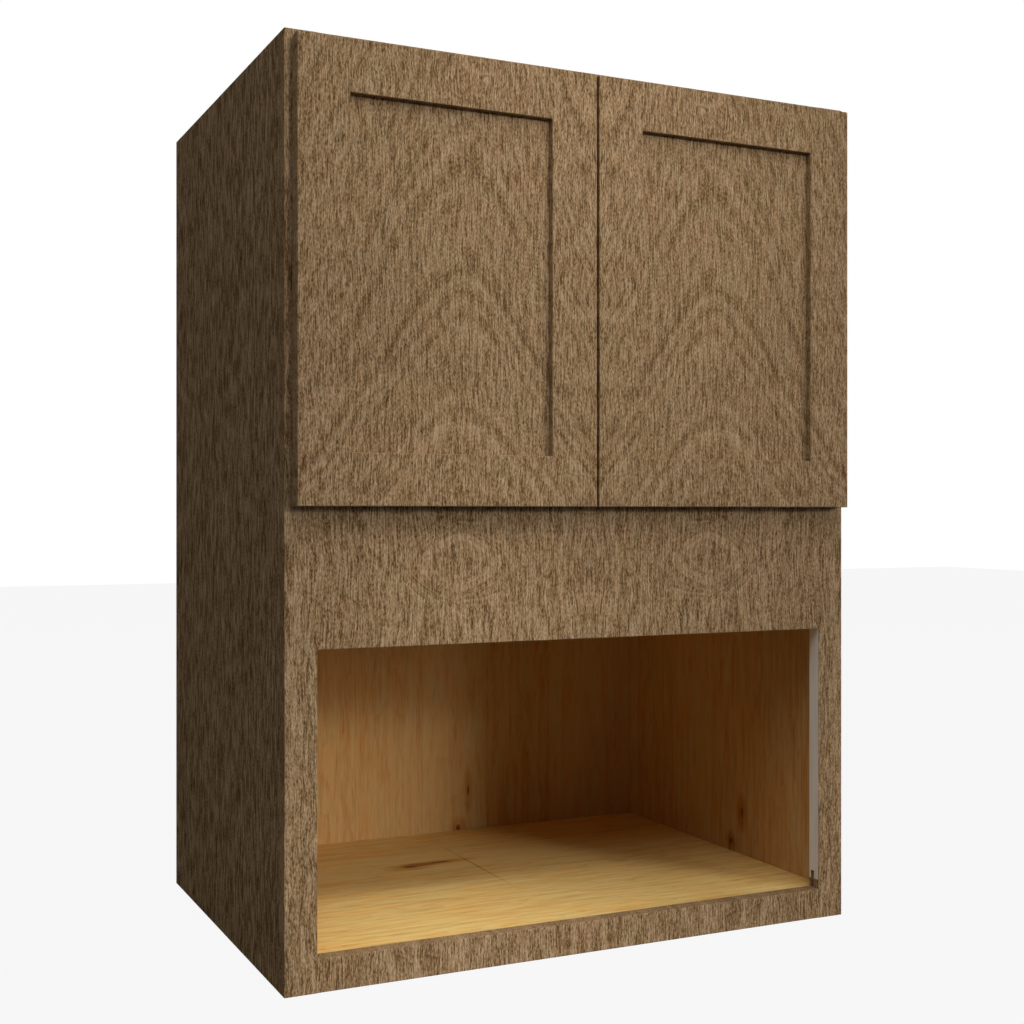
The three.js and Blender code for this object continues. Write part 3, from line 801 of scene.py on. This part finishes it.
for node in decks:
    ply_board(node, lightened_board_maple, no_edge)
ply_board("back_panel", shaded_back_maple, no_edge)
ply_board("cupboard_shelf", lightened_board_maple, front_edges)
for level in ("top", "middle", "bottom"):
    ply_board(f"{level}_hanging_rail", lightened_board_maple, outer_rim)

# %% [markdown]
# ## Face frame
# The frame is three rails between two stiles.  A rail's ends are inset by 6 mm and drawn out as
# tenons, and the stiles get matching mortises.  The edges round the openings are eased, but not
# across the joints: a real frame is sanded after it is glued.

# %% Frame rails
TENON_SHOULDER = 6 * MM
TENON_LENGTH = 12 * MM
FRAME_EASE = 0.9 * MM
frame_rails = ("bottom_rail", "wide_middle_rail", "top_rail")
OPENING_HALF = abs(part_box("left_stile")[1].x)


def frame_rail(node):
    """A rail with its tenons and its long front edges sanded."""
    low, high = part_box(node)
    low.x, high.x = -OPENING_HALF, OPENING_HALF
    bm = block(low, high)
    ends = [f for f in bm.faces if abs(f.normal.x) > 0.9]
    bmesh.ops.inset_individual(bm, faces=ends, thickness=TENON_SHOULDER, use_even_offset=True)
    tenons = bmesh.ops.extrude_discrete_faces(bm, faces=ends)["faces"]
    for end in tenons:
        bmesh.ops.translate(bm, verts=end.verts, vec=end.normal * TENON_LENGTH)
    long_edges = [e for e in bm.edges if runs_along(e, X) and e.calc_length() > OPENING_HALF]
    ease(bm, [e for e in long_edges if middle(e).y < low.y + MM], FRAME_EASE)
    finished(f"{node}_of_frame", bm, frame_oak, stands_for=[node])


for node in frame_rails:
    frame_rail(node)

# %% [markdown]
# A stile is cut through at the heights of the rails first, with bisect_plane, so that only the
# stretches beside an opening can be eased.  The mortises and the slot are cut out last.

# %% Frame stiles
MORTISE_PLAY = 0.25 * MM
# the pale band stops short of the floor, and a narrow slot runs on a little above its foot
BAND_FOOT = 50 * MM
SLOT_DROP, SLOT_RISE = 11 * MM, 10 * MM
SLOT_FRONT, SLOT_BACK = -251 * MM, -244.5 * MM
SLOT_DEPTH = 3 * MM
rail_spans = [(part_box(node)[0].z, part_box(node)[1].z) for node in frame_rails]


def beside_rail(height):
    return any(bottom < height < top for bottom, top in rail_spans)


def frame_stile(side):
    node = f"{side}_stile"
    low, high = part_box(node)
    sign = -1 if side == "left" else 1
    inner, outer = (high.x, low.x) if sign < 0 else (low.x, high.x)
    bm = block(low, high)
    for height in (BAND_FOOT, *(height for span in rail_spans for height in span)):
        if low.z < height < high.z:
            bmesh.ops.bisect_plane(
                bm, geom=bm.verts[:] + bm.edges[:] + bm.faces[:],
                plane_co=(0, 0, height), plane_no=(0, 0, 1))
    front = [e for e in bm.edges if runs_along(e, Z) and middle(e).y < low.y + MM]
    outer_run = [e for e in front if abs(middle(e).x - outer) < MM]
    inner_run = [e for e in front if abs(middle(e).x - inner) < MM and not beside_rail(middle(e).z)]
    ease(bm, outer_run + inner_run, FRAME_EASE)
    mortises = bmesh.new()
    for node_rail in frame_rails:
        tenon_low, tenon_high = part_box(node_rail)
        tenon_low.z += TENON_SHOULDER - MORTISE_PLAY
        tenon_high.z += MORTISE_PLAY - TENON_SHOULDER
        near, far = sorted((inner - sign * MM, inner + sign * (TENON_LENGTH + MORTISE_PLAY)))
        add_block(
            mortises,
            (near, low.y + TENON_SHOULDER - MORTISE_PLAY, tenon_low.z),
            (far, high.y - TENON_SHOULDER + MORTISE_PLAY, tenon_high.z),
        )
    near, far = sorted((inner - sign * MM, inner + sign * SLOT_DEPTH))
    slot_low, slot_high = BAND_FOOT - SLOT_DROP, BAND_FOOT + SLOT_RISE
    add_block(mortises, (near, SLOT_FRONT, slot_low), (far, SLOT_BACK, slot_high))
    bm = machined(bm, mortises)
    return finished(f"{side}_stile_of_frame", bm, frame_oak, stands_for=[node])


stiles = [frame_stile(side) for side in SIDES]

# %% [markdown]
# The smooth band covers the stiles' edges that look into the oven opening, from its foot up to the
# wide rail.  Only the flat faces count, not the eased corner that belongs to the front.

# %% Banded edges of the opening
niche_top = rail_spans[1][0]


def faces_niche(centre, normal):
    inside = BAND_FOOT < centre.z < niche_top and abs(centre.x) < OPENING_HALF + MM
    return inside and abs(normal.x) > 0.95 and centre.x * normal.x < 0


for piece in stiles:
    recolour(piece, edge_band, faces_niche)

# %% [markdown]
# ## Doors
# A door is two stiles, two rails and a thin panel set back in a groove.  The section of a stile is
# a face of eight points, extruded to length and eased on its front edges.  The rail has the same
# section and a tongue on each end that fills the stiles' grooves.

# %% Door frames
DOOR_EASE = 1.5 * MM
STICKING = 0.8 * MM
GROOVE_DEPTH = 10 * MM
GROOVE_PLAY = 0.25 * MM
TONGUE_INSET = 2 * MM
CUP_CENTRE = 20.5 * MM
CUP_RADIUS = 17.5 * MM


def door_section(front, back, panel_front, panel_back):
    """The section's points: a place across the stile, and Y."""
    cheek_front = panel_front - GROOVE_PLAY
    cheek_back = panel_back + GROOVE_PLAY
    return [
        ("outer", back), ("outer", front), ("inner", front), ("inner", cheek_front),
        ("groove", cheek_front), ("groove", cheek_back), ("inner", cheek_back), ("inner", back),
    ]


def door_member(node, body, outer, inner, ends, length_axis):
    """A stile or rail as a bmesh, between its outer and inner edge and the ends of its length."""
    low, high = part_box(node)
    panel_low, panel_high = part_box(f"{body}_panel")
    direction = 1 if inner > outer else -1
    places = {"outer": outer, "inner": inner, "groove": inner - direction * GROOVE_DEPTH}
    bm = bmesh.new()
    corners = []
    for place, y in door_section(low.y, high.y, panel_low.y, panel_high.y):
        across = places[place]
        spot = (across, y, ends[0]) if length_axis == Z else (ends[0], y, across)
        corners.append(bm.verts.new(spot))
    section = bm.faces.new(corners)
    drawn = bmesh.ops.extrude_face_region(bm, geom=[section])["geom"]
    run = Vector((0, 0, 0))
    run[length_axis] = ends[1] - ends[0]
    moved = [v for v in drawn if isinstance(v, bmesh.types.BMVert)]
    bmesh.ops.translate(bm, verts=moved, vec=run)
    return bm


def ease_door_front(bm, front, length_axis, outer, ends, inner):
    """Rounds the outside of the door's front, and more finely the inside of its frame."""
    width_axis = X if length_axis == Z else Z

    def on_front(place, axis):
        return [e for e in bm.edges
                if middle(e).y < front + TOUCH and abs(middle(e)[axis] - place) < TOUCH]

    rim = on_front(outer, width_axis)
    for end in ends:
        rim += on_front(end, length_axis)
    ease(bm, rim, DOOR_EASE, segments=4)
    inside = [e for e in on_front(inner, width_axis) if runs_along(e, length_axis)]
    ease(bm, inside, STICKING, segments=3)


def cup_bores(body, side):
    """The round pockets for the hinge cups, as cutters."""
    bores = bmesh.new()
    stile_low, stile_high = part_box(f"{body}_hinge_stile")
    centre_x = stile_low.x + CUP_CENTRE if side == "left" else stile_high.x - CUP_CENTRE
    mouth = stile_high.y + MM
    for level in LEVELS:
        cup_low, cup_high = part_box(f"{body}_{level}_hinge_cup")
        floor = cup_low.y - GROOVE_PLAY
        add_rod(
            bores, (centre_x, (mouth + floor) / 2, (cup_low.z + cup_high.z) / 2), "y",
            CUP_RADIUS + GROOVE_PLAY, mouth - floor, sides=48)
    return bores


# %% [markdown]
# A left door has its hinge stile's outer edge at the low X and a right door at the high X, so every
# member is told which of its edges is the outer one.

# %% The two doors
def door_board(node, bm, body):
    finished(f"{node}_board", bm, door_oak, body, [node])


def door_stile(body, part, outer_is_low, side):
    node = f"{body}_{part}"
    low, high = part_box(node)
    outer, inner = (low.x, high.x) if outer_is_low else (high.x, low.x)
    ends = (low.z, high.z)
    bm = door_member(node, body, outer, inner, ends, Z)
    ease_door_front(bm, low.y, Z, outer, ends, inner)
    if part == "hinge_stile":
        bm = machined(bm, cup_bores(body, side))
    door_board(node, bm, body)


def door_rail(body, part, outer_is_low, ends):
    """A rail between the stiles, with a tongue on each end that fills a stile's groove."""
    node = f"{body}_{part}"
    low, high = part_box(node)
    panel_low, panel_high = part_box(f"{body}_panel")
    outer, inner = (low.z, high.z) if outer_is_low else (high.z, low.z)
    inward = 1 if outer_is_low else -1
    bm = door_member(node, body, outer, inner, ends, X)
    ease_door_front(bm, low.y, X, outer, (), inner)
    tongues = bmesh.new()
    near, far = sorted((outer + inward * TONGUE_INSET, inner - inward * GROOVE_DEPTH))
    for start, end in ((low.x, ends[0] + MM), (ends[1] - MM, high.x)):
        add_block(tongues, (start, panel_low.y, near), (end, panel_high.y, far))
    door_board(node, machined(bm, tongues, "UNION"), body)


for side in SIDES:
    body = f"{side}_door"
    left_first = side == "left"
    door_stile(body, "hinge_stile", left_first, side)
    door_stile(body, "meeting_stile", not left_first, side)
    hinge_low, hinge_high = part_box(f"{body}_hinge_stile")
    meet_low, meet_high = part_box(f"{body}_meeting_stile")
    rail_ends = (hinge_high.x, meet_low.x) if left_first else (meet_high.x, hinge_low.x)
    door_rail(body, "bottom_rail", True, rail_ends)
    door_rail(body, "top_rail", False, rail_ends)
    door_board(f"{body}_panel", node_block(f"{body}_panel"), body)

# %% [markdown]
# ## Cup hinges
# The CAD nodes have the right forms: a cup with its flange, a pin, and a strap that curls round the
# pin and bends back along the frame.  Stamped metal has no razor edges, so a copy of each is
# merged, its flat triangles are dissolved and its sharp edges are rounded by a fifth of a
# millimetre.

# %% Softened metal
METAL_EASE = 0.22 * MM
FLAT_ANGLE = math.radians(0.5)
CORNER_ANGLE = math.radians(50)


def softened_copy(node, finish):
    """A copy of a CAD node with rounded edges, in its place."""
    body = frame["nodes"][node]["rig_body"]
    bm = bmesh.new()
    bm.from_mesh(frame["nodes"][node].data)
    bmesh.ops.remove_doubles(bm, verts=bm.verts, dist=WELD)
    bmesh.ops.dissolve_limit(bm, angle_limit=FLAT_ANGLE, verts=bm.verts, edges=bm.edges)
    folds = [e for e in bm.edges if len(e.link_faces) == 2]
    ease(bm, [e for e in folds if e.calc_face_angle(0) > CORNER_ANGLE], METAL_EASE, segments=2)
    finished(f"{node}_metal", bm, finish, body, [node])


for side in SIDES:
    for level in LEVELS:
        softened_copy(f"{side}_door_{level}_hinge_cup", zinc)
        softened_copy(f"{side}_{level}_hinge_arm", steel)
    for row in ROWS:
        softened_copy(f"{side}_{row}_shelf_pin", steel)

# %% [markdown]
# The pin is turned, so it is a finely divided cylinder with rounded ends.

# %% Hinge pins
PIN_EASE = 0.35 * MM


def hinge_pin(node):
    low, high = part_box(node)
    centre = (low + high) / 2
    bm = bmesh.new()
    add_rod(bm, centre, "z", (high.y - low.y) / 2, high.z - low.z, sides=32)
    ease(bm, [e for e in bm.edges if not runs_along(e, Z)], PIN_EASE, segments=3)
    body = frame["nodes"][node]["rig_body"]
    finished(f"{node}_steel", bm, steel, body, [node])


for side in SIDES:
    for level in LEVELS:
        hinge_pin(f"{side}_door_{level}_hinge_pin")

# %% [markdown]
# ## Screws
# Each cup and each base plate is held by two small pan-head screws with a cross recess.  The head's
# top is a small grid whose middle cross is pushed down; round loops are bridged to it to make the
# dome, and a shank goes on below.

# %% Screws
HEAD_RADIUS = 3.3 * MM
HEAD_HEIGHT = 1.5 * MM
SHANK_RADIUS = 1.6 * MM
SHANK_LENGTH = 9 * MM
GRID_CELLS = 5
GRID_HALF = 0.55 * HEAD_RADIUS
RECESS_DEPTH = 0.8 * HEAD_HEIGHT


def loop_edges(bm, verts):
    chosen = set(verts)
    return [e for e in bm.edges if e.verts[0] in chosen and e.verts[1] in chosen]


def screw_mesh():
    """A screw that stands on the origin, with its head towards +Z."""
    bm = bmesh.new()
    bmesh.ops.create_grid(bm, x_segments=GRID_CELLS, y_segments=GRID_CELLS, size=GRID_HALF)
    bmesh.ops.translate(bm, verts=bm.verts, vec=(0, 0, HEAD_HEIGHT))
    cell = 2 * GRID_HALF / GRID_CELLS
    rim = [e for e in bm.edges if e.is_boundary]
    cross = []
    for face in bm.faces:
        spot = face.calc_center_median()
        column, row = round(spot.x / cell), round(spot.y / cell)
        if (column == 0 and abs(row) <= 1) or (row == 0 and abs(column) <= 1):
            cross.append(face)
    sunk = bmesh.ops.extrude_face_region(bm, geom=cross)["geom"]
    bmesh.ops.delete(bm, geom=cross, context="FACES_ONLY")
    floor = [v for v in sunk if isinstance(v, bmesh.types.BMVert)]
    bmesh.ops.translate(bm, verts=floor, vec=(0, 0, -RECESS_DEPTH))
    bmesh.ops.scale(bm, verts=floor, vec=(0.7, 0.7, 1.0))
    steps = [
        (0.86 * HEAD_RADIUS, 0.82 * HEAD_HEIGHT),
        (0.97 * HEAD_RADIUS, 0.5 * HEAD_HEIGHT),
        (HEAD_RADIUS, 0.12 * HEAD_HEIGHT),
        (0.97 * HEAD_RADIUS, 0.0),
        (SHANK_RADIUS, 0.0),
        (SHANK_RADIUS, -0.75 * SHANK_LENGTH),
        (0.15 * SHANK_RADIUS, -SHANK_LENGTH),
    ]
    turn = Matrix.Rotation(math.radians(45), 3, "Z")
    loop = rim
    for radius, height in steps:
        ring = bmesh.ops.create_circle(bm, segments=4 * GRID_CELLS, radius=radius)["verts"]
        bmesh.ops.rotate(bm, verts=ring, cent=(0, 0, 0), matrix=turn)
        bmesh.ops.translate(bm, verts=ring, vec=(0, 0, height))
        edges = loop_edges(bm, ring)
        bmesh.ops.bridge_loops(bm, edges=loop + edges)
        loop = edges
    bmesh.ops.contextual_create(bm, geom=loop)
    return bm


def screw(name, place, direction, body, finish):
    bm = screw_mesh()
    turn = Vector(direction).to_track_quat("Z", "Y").to_matrix().to_4x4()
    bmesh.ops.transform(bm, verts=bm.verts, matrix=Matrix.Translation(place) @ turn)
    finished(name, bm, finish, body, sharp=50)


CUP_SCREW_LINE = 30 * MM
CUP_SCREW_REACH = 22.5 * MM
PLATE_SCREW_LINE = 8 * MM
PLATE_SCREW_REACH = 14 * MM
ENDS = (("low", -1), ("high", 1))

for side, out in (("left", 1), ("right", -1)):
    hinge_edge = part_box(f"{side}_door_hinge_stile")[0 if side == "left" else 1].x
    for level in LEVELS:
        cup_low, cup_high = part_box(f"{side}_door_{level}_hinge_cup")
        arm_low, arm_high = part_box(f"{side}_{level}_hinge_arm")
        height = (cup_low.z + cup_high.z) / 2
        plate_x = arm_high.x if side == "left" else arm_low.x
        for end, way in ENDS:
            reach = height + way * CUP_SCREW_REACH
            spot = (hinge_edge + out * CUP_SCREW_LINE, cup_high.y, reach)
            name = f"{side}_{level}_cup_screw_{end}"
            screw(name, spot, (0, 1, 0), f"{side}_door", zinc)
            reach = height + way * PLATE_SCREW_REACH
            spot = (plate_x, arm_high.y - PLATE_SCREW_LINE, reach)
            name = f"{side}_{level}_plate_screw_{end}"
            screw(name, spot, (out, 0, 0), "cabinet", zinc)

# %% [markdown]
# ## Bumpers
# Soft domes on the backs of the doors keep them 4 mm off the frame.  A quarter profile is spun
# about the dome's axis, and its points at the pole are merged by the finishing step.

# %% Bumpers
# radius and height along the dome, as shares of the whole
DOME = [
    (0.0, 0.0), (1.0, 0.0), (1.0, 0.62), (0.97, 0.76), (0.9, 0.87), (0.8, 0.95), (0.68, 0.99),
    (0.5, 1.0), (0.3, 0.975), (0.0, 0.955),
]


def bumper(side, level):
    body = f"{side}_door"
    node = f"{body}_{level}_bumper"
    low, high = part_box(node)
    centre = (low + high) / 2
    radius, height = (high.z - low.z) / 2, high.y - low.y
    bm = bmesh.new()
    points = [
        bm.verts.new((centre.x + out * radius, low.y + up * height, centre.z)) for out, up in DOME]
    rail = [bm.edges.new(pair) for pair in zip(points, points[1:])]
    bmesh.ops.spin(
        bm, geom=points + rail, cent=(centre.x, low.y, centre.z), axis=(0, 1, 0), dvec=(0, 0, 0),
        angle=math.tau, steps=36, use_merge=True, use_duplicate=False)
    name = node.replace("bumper", "dome")
    finished(name, bm, bumper_plastic, body, [node])


for side in SIDES:
    for level in LEVELS:
        bumper(side, level)
